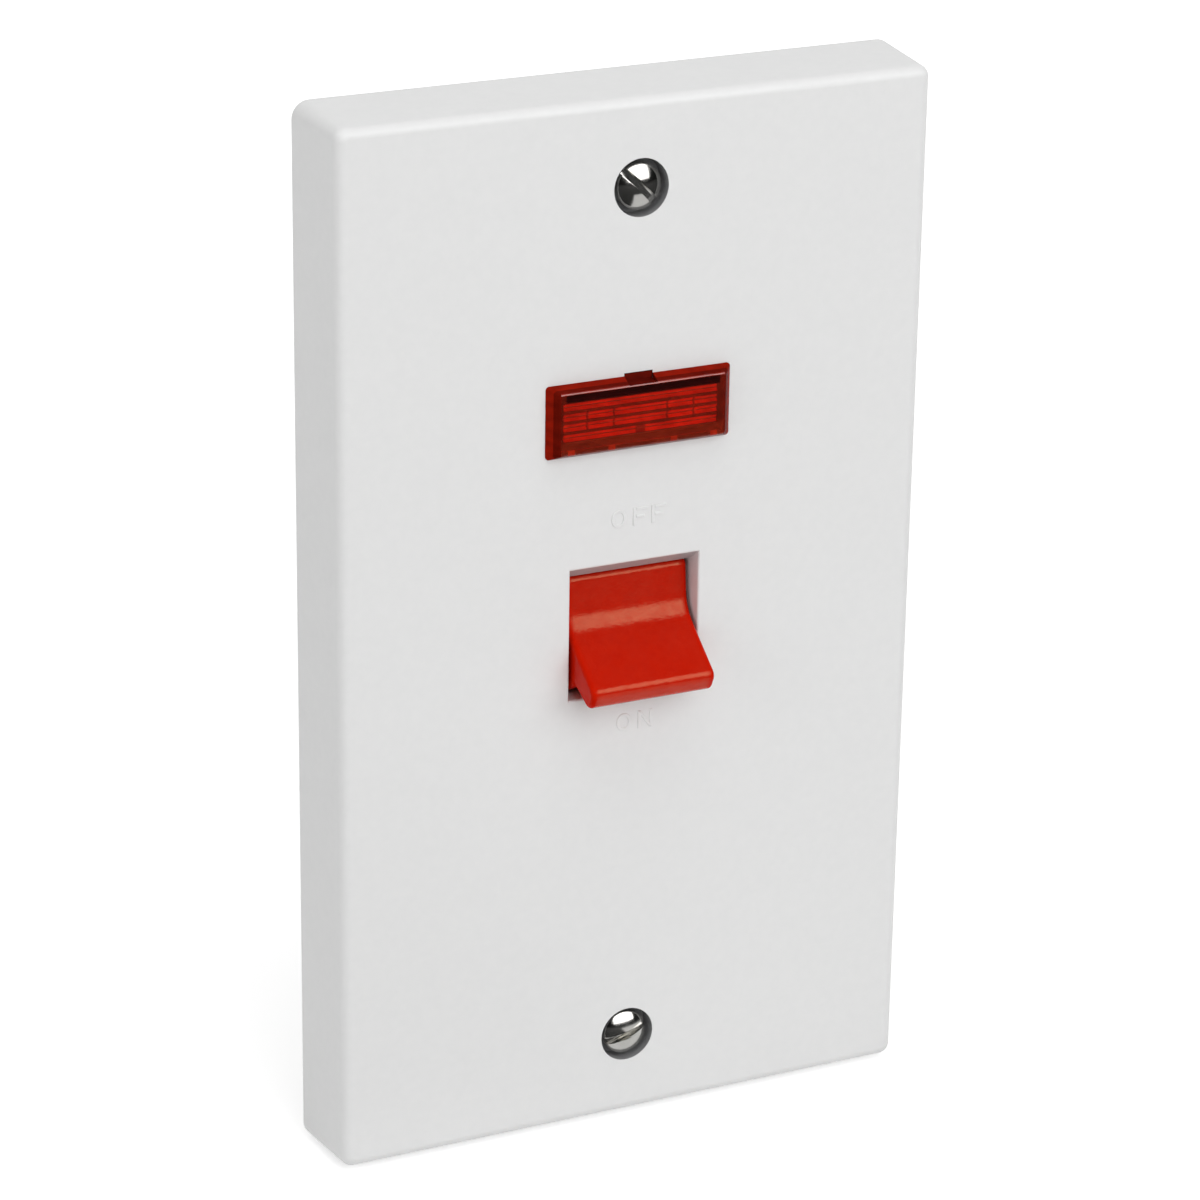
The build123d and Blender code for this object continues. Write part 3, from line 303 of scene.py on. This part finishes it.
# A Principled material, with texture nodes that feed its sockets
class Finish(Nodes):
    def __init__(self, name, colour, roughness, **sockets):
        self.material = bpy.data.materials.new(name)
        self.material.use_nodes = True
        super().__init__(self.material.node_tree)
        self.shader = self.tree.nodes["Principled BSDF"]
        self.shader.inputs["Base Color"].default_value = (*colour, 1.0)
        self.shader.inputs["Roughness"].default_value = roughness
        for socket, value in sockets.items():
            self.shader.inputs[socket.replace("_", " ")].default_value = value
        self.place = self.add("ShaderNodeTexCoord").outputs["Object"]

    def coordinates(self):
        parts = self.add("ShaderNodeSeparateXYZ")
        self.link(self.place, parts.inputs["Vector"])
        return parts.outputs["X"], parts.outputs["Y"], parts.outputs["Z"]

    # Noise whose grains are about the given size, one for all ways or one each along X, Y and Z
    def noise(self, size, detail=NOISE_DETAIL):
        scaled = self.add("ShaderNodeMapping")
        grains = size if isinstance(size, tuple) else (size, size, size)
        scaled.inputs["Scale"].default_value = tuple(1.0 / grain for grain in grains)
        self.link(self.place, scaled.inputs["Vector"])
        node = self.add("ShaderNodeTexNoise")
        node.inputs["Scale"].default_value = 1.0
        node.inputs["Detail"].default_value = detail
        self.link(scaled.outputs["Vector"], node.inputs["Vector"])
        return node.outputs["Fac"]

    # Colour between two tints as a texture goes from low to high
    def tint(self, texture, low, high):
        ramp = self.add("ShaderNodeValToRGB")
        for element, place, colour in zip(ramp.color_ramp.elements, NOISE_REACH, (low, high)):
            element.position = place
            element.color = (*colour, 1.0)
        self.link(texture, ramp.inputs["Fac"])
        self.link(ramp.outputs["Color"], self.shader.inputs["Base Color"])

    # Roughness between two values
    def polish(self, texture, low, high):
        self.link(self.spread(texture, low, high), self.shader.inputs["Roughness"])

    # Fine relief of the given depth
    def relief(self, texture, depth):
        bump = self.add("ShaderNodeBump")
        bump.inputs["Strength"].default_value = 1.0
        bump.inputs["Distance"].default_value = depth
        self.link(texture, bump.inputs["Height"])
        self.link(bump.outputs["Normal"], self.shader.inputs["Normal"])

    # Make the colour darker or brighter in patches
    def vary(self, texture, low, high):
        colour = self.shader.inputs["Base Color"]
        scaled = self.add("ShaderNodeVectorMath", operation="SCALE")
        self.link(colour.links[0].from_socket, scaled.inputs["Vector"])
        self.link(self.spread(texture, low, high), scaled.inputs["Scale"])
        self.link(scaled.outputs["Vector"], colour)

    # Constant steps of colour or of a plain value, from (place, colour) pairs
    def steps(self, value, stops, socket):
        ramp = self.add("ShaderNodeValToRGB")
        ramp.color_ramp.interpolation = "CONSTANT"
        elements = ramp.color_ramp.elements
        elements.remove(elements[1])
        for index, (place, colour) in enumerate(stops):
            element = elements[0] if index == 0 else elements.new(place)
            element.position = place
            element.color = (*colour, 1.0)
        self.link(value, ramp.inputs["Fac"])
        self.link(ramp.outputs["Color"], self.shader.inputs[socket])

    # Darken the colour by constant steps of painted shade
    def shade(self, value, stops):
        colour = self.shader.inputs["Base Color"]
        plain = colour.links[0].from_socket
        self.steps(value, stops, "Base Color")
        product = self.add("ShaderNodeVectorMath", operation="MULTIPLY")
        self.link(plain, product.inputs[0])
        self.link(colour.links[0].from_socket, product.inputs[1])
        self.link(product.outputs["Vector"], colour)

    # A mask where all the given masks are set
    def all_of(self, *masks):
        both = masks[0]
        for mask in masks[1:]:
            both = self.math("MULTIPLY", both, mask)
        return both

    # A mask where a value lies between two others
    def between(self, value, low, high):
        return self.all_of(self.math("GREATER_THAN", value, low), self.math("LESS_THAN", value, high))

    # A number for each place: that of the last mask in the list which is set, over the count
    def zones(self, *masks):
        zone = masks[0]
        for index, mask in enumerate(masks[1:], 2):
            zone = self.math("MAXIMUM", zone, self.math("MULTIPLY", mask, float(index)))
        count = len(masks) + 1
        places = [max(0.0, (index - 0.5) / count) for index in range(count)]
        return self.math("DIVIDE", zone, float(count)), places


# Moulded plastics
def moulded(name, tints, roughness, depth=GRAIN_DEPTH, mottle=MOTTLE, grain=GRAIN, **sockets):
    finish = Finish(name, tints[0], roughness[0], **sockets)
    finish.tint(finish.noise(mottle, TINT_DETAIL), *tints)
    finish.polish(finish.noise(POLISH_MOTTLES * mottle), *roughness)
    finish.relief(finish.noise(grain, GRAIN_DETAIL), depth)
    return finish


# Metals, with fine marks
def metal(name, tints, roughness, marks, depth):
    finish = Finish(name, tints[0], roughness[0], Metallic=1.0)
    finish.tint(finish.noise(METAL_MOTTLE, TINT_DETAIL), *tints)
    finish.polish(finish.noise(METAL_MOTTLE, GRAIN_DETAIL), *roughness)
    finish.relief(finish.noise(marks), depth)
    return finish


# Plate: white, with painted shade that darkens the screw recesses, the slope above the rocker and the lens's
# notch
def plate_finish():
    finish = moulded("plate_white", PLATE_TINTS, PLATE_ROUGHNESS)
    x, y, z = finish.coordinates()
    across = finish.math("ABSOLUTE", x, 0.0)
    depth = finish.math("SUBTRACT", y, FACE_Y)
    rise = finish.math("SUBTRACT", finish.math("ABSOLUTE", z, 0.0), FIXING_Z)
    from_fixing = finish.math("ADD", finish.math("MULTIPLY", x, x), finish.math("MULTIPLY", rise, rise))
    slope = finish.all_of(finish.math("GREATER_THAN", depth, SLOPE_DEPTH), finish.between(z, *SLOPE_Z),
                          finish.math("LESS_THAN", across, SLOPE_HALF_W))
    recess = finish.all_of(finish.between(depth, *RECESS_DEPTHS),
                           finish.math("LESS_THAN", from_fixing, RECESS_R ** 2))
    notch = finish.all_of(finish.math("GREATER_THAN", depth, NOTCH_DEPTH), finish.between(z, *NOTCH_Z),
                          finish.math("LESS_THAN", across, NOTCH_HALF_W))
    # Painted shade: the slope, the screw recesses and the notch walls are darkened in the colour where shade
    # falls
    zone, places = finish.zones(slope, recess, notch)
    finish.shade(zone, list(zip(places, PLATE_PAINTED_SHADE)))
    return finish


# Rocker: glossy in front, with dull sides
def rocker_finish():
    finish = moulded("rocker_red", ROCKER_TINTS, ROCKER_ROUGHNESS, ROCKER_GRAIN_DEPTH, grain=ROCKER_GRAIN,
                     Specular_Tint=ROCKER_SHINE_TINT)
    x, _, _ = finish.coordinates()
    across = finish.math("ABSOLUTE", x, 0.0)
    shine = finish.spread(across, *ROCKER_SHINE, reach=ROCKER_EDGES)
    blotches = finish.spread(finish.noise(ROCKER_BLOTCH), *ROCKER_BLOTCHES)
    finish.link(finish.math("MULTIPLY", shine, blotches), finish.shader.inputs["Specular IOR Level"])
    return finish


# Lens: clear red in zones, with painted reflections on the flanks of the inner ribs and a clear line along
# each crest
def lens_finish():
    finish = Finish("lens_red", LENS_ZONES[0][0], LENS_ROUGHNESS[0], IOR=LENS_IOR)
    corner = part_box("neon_lens")[0]
    x, y, z = finish.coordinates()
    across = finish.math("ABSOLUTE", x, 0.0)
    depth = finish.math("SUBTRACT", y, corner.y)
    rise = finish.math("SUBTRACT", z, corner.z + LENS_HALF_H)
    from_middle = finish.math("ABSOLUTE", rise, 0.0)
    from_crest = finish.math("SUBTRACT", RIB_PITCH / 2, finish.math("PINGPONG", rise, RIB_PITCH / 2))
    from_break = finish.math("PINGPONG", across, BREAK_PITCH / 2)
    within = finish.math("LESS_THAN", across, INNER_HALF_W)
    bevel = finish.math("LESS_THAN", depth, BEVEL_DEPTH)
    panel = finish.all_of(finish.math("LESS_THAN", depth, PANEL_DEPTH),
                          finish.math("LESS_THAN", across, PANEL_HALF_W))
    low = finish.all_of(panel, finish.math("LESS_THAN", rise, LOW_RISE))
    # Painted shadow: a dark band along the top of the front panel
    shade = finish.all_of(panel, within, finish.math("GREATER_THAN", rise, SHADE_RISE))
    # Partly painted highlight: a lighter line along the top edge of the panel, with extra shine and coat
    edge = finish.all_of(panel, finish.math("GREATER_THAN", rise, EDGE_RISE))
    # Painted shade: the dark gaps between the inner ribs
    inner = finish.all_of(within, finish.between(depth, *INNER_DEPTHS),
                          finish.math("LESS_THAN", from_middle, INNER_HALF_H))
    # Painted reflection: the bright flanks of the inner ribs
    rib = finish.all_of(inner, finish.between(from_crest, RIB_CREST, RIB_HALF))
    # Painted shade: the tab in the notch is dark
    tab = finish.all_of(finish.math("LESS_THAN", across, TAB_HALF_W),
                        finish.math("GREATER_THAN", rise, TAB_RISE))
    high_breaks = finish.all_of(rib, finish.between(across, *BREAK_REACH),
                                finish.math("LESS_THAN", from_middle, RIB_PITCH),
                                finish.math("LESS_THAN", from_break, BREAK_HALF))
    low_break = finish.all_of(rib, finish.math("LESS_THAN", across, LOW_BREAK_HALF),
                              finish.math("LESS_THAN", rise, -RIB_PITCH))
    breaks = finish.math("MAXIMUM", high_breaks, low_break)
    # Painted glints: light spots along the foot of the lens
    in_spots = finish.math("MAXIMUM", *(finish.between(across, *spot) for spot in SPOTS))
    spots = finish.all_of(low, in_spots, finish.math("LESS_THAN", rise, SPOT_RISE))
    zone, places = finish.zones(bevel, panel, low, shade, edge, inner, rib, tab, breaks, spots)
    colours, clears, shines, coats = zip(*LENS_ZONES)
    finish.steps(zone, list(zip(places, colours)), "Base Color")
    finish.vary(finish.noise(LENS_MOTTLE, GRAIN_DETAIL), *LENS_BLOTCHES)
    for socket, levels in (("Transmission Weight", clears), ("Specular IOR Level", shines),
                           ("Coat Weight", coats)):
        finish.steps(zone, [(place, (level,) * 3) for place, level in zip(places, levels)], socket)
    finish.polish(finish.noise(LENS_POLISH), *LENS_ROUGHNESS)
    return finish


# Lamp: clear glass
def glass_finish():
    finish = Finish("lamp_glass", GLASS_TINT, GLASS_ROUGHNESS[0], Transmission_Weight=1.0, IOR=GLASS_IOR)
    finish.polish(finish.noise(GLASS_MOTTLE), *GLASS_ROUGHNESS)
    return finish


# Resistor: a lacquered body with colour bands, between tinned wires
def resistor_finish():
    finish = Finish("resistor_body", RESISTOR_BODY, RESISTOR_ROUGHNESS)
    low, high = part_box("ballast_resistor")
    start, end = RESISTOR_ENDS
    stops = [(low.x, RESISTOR_TIN), (start, RESISTOR_BODY)]
    for share, colour in BANDS:
        band = start + share * (end - start)
        stops += [(band, colour), (band + BAND_W, RESISTOR_BODY)]
    stops.append((end, RESISTOR_TIN))
    x, _, _ = finish.coordinates()
    along = finish.spread(x, 0.0, 1.0, reach=(low.x, high.x))
    shares = [((place - low.x) / (high.x - low.x), colour) for place, colour in stops]
    finish.steps(along, shares, "Base Color")
    finish.relief(finish.noise(RESISTOR_GRAIN), GRAIN_DEPTH)
    return finish


# The material for each slot of the record
def all_finishes():
    finishes = {
        "plate_white": plate_finish(),
        "rocker_red": rocker_finish(),
        "lens_red": lens_finish(),
        "lamp_glass": glass_finish(),
        "resistor_body": resistor_finish(),
    }
    for name, row in PLASTICS.items():
        finishes[name] = moulded(name, *row)
    for name, row in METALS.items():
        finishes[name] = metal(name, *row)
    return {name: finish.material for name, finish in finishes.items()}


# Mesh helpers
def new_piece(name, mesh, finish):
    piece = bpy.data.objects.new(name, mesh)
    bpy.context.scene.collection.objects.link(piece)
    mesh.materials.clear()
    mesh.materials.append(finish)
    return piece


def mesh_from(bm, name):
    bmesh.ops.recalc_face_normals(bm, faces=bm.faces)
    mesh = bpy.data.meshes.new(name)
    bm.to_mesh(mesh)
    bm.free()
    return mesh


# Round the edges of a piece that are sharp enough
def round_edges(piece, width, segments):
    edge = piece.modifiers.new("edge", "BEVEL")
    edge.width = width
    edge.segments = segments
    edge.limit_method = "ANGLE"
    edge.angle_limit = EDGE_ANGLE


# The object's mesh with its modifiers applied
def applied(piece):
    bpy.context.view_layer.update()
    graph = bpy.context.evaluated_depsgraph_get()
    return bpy.data.meshes.new_from_object(piece.evaluated_get(graph))


# Join rings of points by faces, each ring to the next
def join_rings(bm, pairs):
    for one, two in pairs:
        for step in range(ROUND_SEGMENTS):
            after = (step + 1) % ROUND_SEGMENTS
            bm.faces.new((one[step], one[after], two[after], two[step]))


# Rings of points about an axis along Y, joined into a closed skin; radius is a function of ring and turn
def add_rings(bm, centre_z, places, radius):
    rings = []
    for ring, y in enumerate(places):
        points = []
        for step in range(ROUND_SEGMENTS):
            turn = tau * step / ROUND_SEGMENTS
            r = radius(ring, turn)
            points.append(bm.verts.new((r * cos(turn), y, centre_z + r * sin(turn))))
        rings.append(points)
    join_rings(bm, zip(rings, rings[1:]))
    bm.faces.new(rings[0])
    bm.faces.new(list(reversed(rings[-1])))


# Fixing screw: a domed slotted head on a plain neck
def screw_head(centre_z, turn, finish):
    top_y = SCREW_LOW.y
    seat_y = top_y + HEAD_DOME + HEAD_SIDE
    dome_r = (HEAD_R ** 2 + HEAD_DOME ** 2) / (2 * HEAD_DOME)
    profile = []
    for step in range(1, DOME_STEPS + 1):
        r = HEAD_R * step / DOME_STEPS
        profile.append((top_y + dome_r - (dome_r ** 2 - r ** 2) ** 0.5, r))
    profile += [(seat_y, HEAD_R), (seat_y, NECK_R), (0.0, NECK_R)]
    bm = bmesh.new()
    add_rings(bm, centre_z, [y for y, r in profile], lambda ring, angle: profile[ring][1])
    head = new_piece("screw_head", mesh_from(bm, "screw_head"), finish)
    slot_bm = bmesh.new()
    bmesh.ops.create_cube(slot_bm, size=1.0)
    slot = new_piece("slot_cutter", mesh_from(slot_bm, "slot_cutter"), finish)
    size = Matrix.Diagonal((3 * HEAD_R, 2 * SLOT_D, SLOT_W, 1.0))
    slot.matrix_world = Matrix.Translation((0, top_y, centre_z)) @ Matrix.Rotation(turn, 4, "Y") @ size
    cut = head.modifiers.new("slot", "BOOLEAN")
    cut.object = slot
    cut.solver = "EXACT"
    round_edges(head, HEAD_EDGE, HEAD_EDGE_SEGMENTS)
    mesh = applied(head)
    bpy.data.objects.remove(head)
    bpy.data.objects.remove(slot)
    return mesh


# Thread: rings that follow one another along the shank, deepest half way between the crests
def add_thread(bm, centre_z):
    end_y = SCREW_HIGH.y
    count = round(THREAD_STEPS * end_y / THREAD_PITCH)
    places = [end_y * ring / count for ring in range(count + 1)]

    def radius(ring, turn):
        share = (places[ring] / THREAD_PITCH - turn / tau) % 1.0
        thread = THREAD_R - THREAD_DEPTH * (1.0 - abs(2.0 * share - 1.0))
        return min(thread, THREAD_R - THREAD_TIP + end_y - places[ring])

    add_rings(bm, centre_z, places, radius)


def fixing_screw(word, centre_z, finish):
    bm = bmesh.new()
    bm.from_mesh(screw_head(centre_z, SLOT_TURNS[word], finish))
    add_thread(bm, centre_z)
    for face in bm.faces:
        face.smooth = True
    mesh = mesh_from(bm, f"fixing_screw_{word}")
    mesh.set_sharp_from_angle(angle=SHARP_ANGLE)
    screw = new_piece(f"fixing_screw_{word}", mesh, finish)
    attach(screw, "plate")
    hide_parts("fixing_screws")


# Plunger spring: the CAD coil on a mesh of its own, carried with the rocker
def spring_coil(side, finish):
    node = f"plunger_spring_{side}"
    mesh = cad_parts[node].data.copy()
    coil = new_piece(f"spring_coil_{side}", mesh, finish)
    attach(coil, "rocker")
    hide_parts(node)
    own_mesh(coil)


# Raised words that mark the two ends of the rocker's travel: each letter is a set of flat strokes
def add_bar(bm, left, right, bottom, top):
    front_y = FACE_Y - WORD_RISE
    size = Matrix.Diagonal((right - left, WORD_RISE + WORD_SINK, top - bottom, 1.0))
    middle = Vector(((left + right) / 2, front_y + (WORD_RISE + WORD_SINK) / 2, (bottom + top) / 2))
    bmesh.ops.create_cube(bm, size=1.0, matrix=Matrix.Translation(middle) @ size)


def add_round(bm, left, bottom):
    centre = Vector((left + LETTER_W / 2, 0.0, bottom + LETTER_H / 2))
    outer = (LETTER_W / 2, LETTER_H / 2)
    inner = (LETTER_W / 2 - LETTER_STROKE, LETTER_H / 2 - LETTER_STROKE)
    section = ((outer, FACE_Y + WORD_SINK), (outer, FACE_Y - WORD_RISE),
               (inner, FACE_Y - WORD_RISE), (inner, FACE_Y + WORD_SINK))
    turns = [tau * step / ROUND_SEGMENTS for step in range(ROUND_SEGMENTS)]
    rings = []
    for (half_w, half_h), y in section:
        rings.append([bm.verts.new((centre.x + half_w * cos(turn), y, centre.z + half_h * sin(turn)))
                      for turn in turns])
    join_rings(bm, zip(rings, rings[1:] + rings[:1]))


def add_diagonal(bm, left, bottom):
    right = left + LETTER_W
    top = bottom + LETTER_H
    outline = ((left, top), (left + LETTER_STROKE, top), (right, bottom), (right - LETTER_STROKE, bottom))
    front = [bm.verts.new((x, FACE_Y - WORD_RISE, z)) for x, z in outline]
    rear = [bm.verts.new((x, FACE_Y + WORD_SINK, z)) for x, z in outline]
    bm.faces.new(front)
    bm.faces.new(rear)
    for step in range(len(outline)):
        after = (step + 1) % len(outline)
        bm.faces.new((front[step], front[after], rear[after], rear[step]))


def add_letter(bm, letter, left, bottom):
    right = left + LETTER_W
    top = bottom + LETTER_H
    middle = bottom + LETTER_H / 2
    if letter == "O":
        add_round(bm, left, bottom)
        return
    add_bar(bm, left, left + LETTER_STROKE, bottom, top)
    if letter == "F":
        add_bar(bm, left + LETTER_STROKE, right, top - LETTER_STROKE, top)
        add_bar(bm, left + LETTER_STROKE, right - LETTER_STROKE, middle - LETTER_STROKE / 2,
                middle + LETTER_STROKE / 2)
    if letter == "N":
        add_bar(bm, right - LETTER_STROKE, right, bottom, top)
        add_diagonal(bm, left, bottom)


def raised_word(word, finish):
    lefts, bottom = WORDS[word]
    bm = bmesh.new()
    for letter, left in zip(word, lefts):
        add_letter(bm, letter, left, bottom)
    piece = new_piece(f"word_{word.lower()}", mesh_from(bm, f"word_{word.lower()}"), finish)
    round_edges(piece, WORD_EDGE, WORD_EDGE_SEGMENTS)
    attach(piece, "plate")


# Stage: a pale floor, seen white by the camera and in reflections, that keeps the object's shadow
def white_for_views(nodes, plain, views):
    path = nodes.add("ShaderNodeLightPath")
    seen = path.outputs["Is Camera Ray"]
    for ray in ("Is Glossy Ray", "Is Transmission Ray"):
        seen = nodes.math("MAXIMUM", seen, path.outputs[ray])
    mix = nodes.add("ShaderNodeMixShader")
    nodes.link(seen, mix.inputs["Fac"])
    nodes.link(plain, mix.inputs[1])
    nodes.link(views, mix.inputs[2])
    return mix.outputs["Shader"]


def floor_material():
    material = bpy.data.materials.new("floor")
    material.use_nodes = True
    nodes = Nodes(material.node_tree)
    nodes.tree.nodes.remove(nodes.tree.nodes["Principled BSDF"])
    matt = nodes.add("ShaderNodeBsdfDiffuse")
    matt.inputs["Color"].default_value = (*FLOOR_COLOUR, 1.0)
    place = nodes.add("ShaderNodeTexCoord")
    away = nodes.add("ShaderNodeVectorMath", operation="LENGTH")
    nodes.link(place.outputs["Object"], away.inputs["Vector"])
    lift = nodes.spread(away.outputs["Value"], *FLOOR_LIFT, reach=FLOOR_FADE)
    glow = nodes.add("ShaderNodeEmission")
    glow.inputs["Color"].default_value = WHITE
    nodes.link(lift, glow.inputs["Strength"])
    both = nodes.add("ShaderNodeAddShader")
    nodes.link(matt.outputs["BSDF"], both.inputs[0])
    nodes.link(glow.outputs["Emission"], both.inputs[1])
    shown = white_for_views(nodes, matt.outputs["BSDF"], both.outputs["Shader"])
    nodes.link(shown, nodes.tree.nodes["Material Output"].inputs["Surface"])
    return material


def add_floor():
    bm = bmesh.new()
    bmesh.ops.create_grid(bm, x_segments=1, y_segments=1, size=FLOOR_SIZE / 2)
    floor = new_piece("floor", mesh_from(bm, "floor"), floor_material())
    floor.location.z = cad_box[0][2]


# A dark room, with a floor that is grey near the object and dark beyond, which only reflections see
def add_reflected(name, bm, colour):
    material = bpy.data.materials.new(name)
    material.use_nodes = True
    shader = material.node_tree.nodes["Principled BSDF"]
    shader.inputs["Base Color"].default_value = (*colour, 1.0)
    shader.inputs["Roughness"].default_value = 1.0
    piece = new_piece(name, mesh_from(bm, name), material)
    piece.visible_camera = False
    piece.visible_diffuse = False
    piece.visible_transmission = False
    piece.visible_shadow = False


def add_flat(bm, x_range, y_range, lift):
    z = cad_box[0][2] + lift
    left, right = x_range
    front, back = y_range
    outline = ((left, front), (right, front), (right, back), (left, back))
    bm.faces.new([bm.verts.new((x, y, z)) for x, y in outline])


def add_dark_room():
    all_x = (-ROOM_RADIUS, ROOM_RADIUS)
    strip_y = FACE_Y - STRIP_W
    bm = bmesh.new()
    rings, bands = ROOM_SEGMENTS
    bmesh.ops.create_uvsphere(bm, u_segments=rings, v_segments=bands, radius=ROOM_RADIUS)
    behind = [v for v in bm.verts if v.co.y > ROOM_OPEN_Y]
    bmesh.ops.delete(bm, geom=behind, context="VERTS")
    add_flat(bm, all_x, (-ROOM_RADIUS, strip_y), REFLECTED_LIFT)
    add_reflected("dark_room", bm, DARK)
    near = bmesh.new()
    add_flat(near, all_x, (strip_y, FACE_Y), REFLECTED_LIFT)
    add_flat(near, PATCH_X, (PATCH_Y, strip_y), 2 * REFLECTED_LIFT)
    add_reflected("near_floor", near, GREY)


def add_world():
    world = bpy.data.worlds.new("studio")
    bpy.context.scene.world = world
    world.use_nodes = True
    nodes = Nodes(world.node_tree)
    fill = nodes.tree.nodes["Background"]
    fill.inputs["Color"].default_value = WHITE
    fill.inputs["Strength"].default_value = FILL_LEVEL
    white = nodes.add("ShaderNodeBackground")
    white.inputs["Color"].default_value = WHITE
    white.inputs["Strength"].default_value = 1.0
    shown = white_for_views(nodes, fill.outputs["Background"], white.outputs["Background"])
    nodes.link(shown, nodes.tree.nodes["World Output"].inputs["Surface"])


# A soft lamp that faces the origin
def add_softbox(name, azimuth, elevation, distance, width, height, power, shows=False):
    azimuth = radians(azimuth)
    elevation = radians(elevation)
    light = bpy.data.lights.new(name, "AREA")
    light.shape = "RECTANGLE"
    light.size = width
    light.size_y = height
    light.energy = power
    lamp = bpy.data.objects.new(name, light)
    bpy.context.scene.collection.objects.link(lamp)
    out = Vector((sin(azimuth) * cos(elevation), -cos(azimuth) * cos(elevation), sin(elevation)))
    lamp.location = out * distance
    lamp.rotation_euler = out.to_track_quat("Z", "Y").to_euler()
    lamp.visible_camera = False
    lamp.visible_glossy = shows


def add_camera():
    level = Vector((sin(CAMERA_YAW), cos(CAMERA_YAW), 0.0))
    ahead = level * cos(CAMERA_PITCH) - Vector((0.0, 0.0, sin(CAMERA_PITCH)))
    right = Vector((cos(CAMERA_YAW), -sin(CAMERA_YAW), 0.0))
    down = ahead.cross(right)
    across = right * cos(CAMERA_ROLL) + down * sin(CAMERA_ROLL)
    up = right * sin(CAMERA_ROLL) - down * cos(CAMERA_ROLL)
    data = bpy.data.cameras.new("camera")
    data.lens = CAMERA_LENS
    data.sensor_width = CAMERA_SENSOR
    camera = bpy.data.objects.new("camera", data)
    bpy.context.scene.collection.objects.link(camera)
    turn = Matrix((across, up, -ahead)).transposed().to_4x4()
    camera.matrix_world = Matrix.Translation(CAMERA_PLACE) @ turn
    bpy.context.scene.camera = camera


finishes = all_finishes()
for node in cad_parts.values():
    for slot in node.material_slots:
        slot.material = finishes[slot.material.name.split(".")[0]]

fixing_screw("upper", FIXING_Z, finishes["nickel"])
fixing_screw("lower", -FIXING_Z, finishes["nickel"])
for side in ("left", "right"):
    spring_coil(side, finishes["spring_steel"])
for word in WORDS:
    raised_word(word, finishes["plate_white"])

add_floor()
add_dark_room()
add_world()
add_softbox("key", **KEY, shows=True)
add_softbox("left", **LEFT)
add_softbox("overhead", **OVERHEAD)
add_softbox("back", **BACK)
add_camera()
bpy.context.scene.view_settings.view_transform = "Standard"
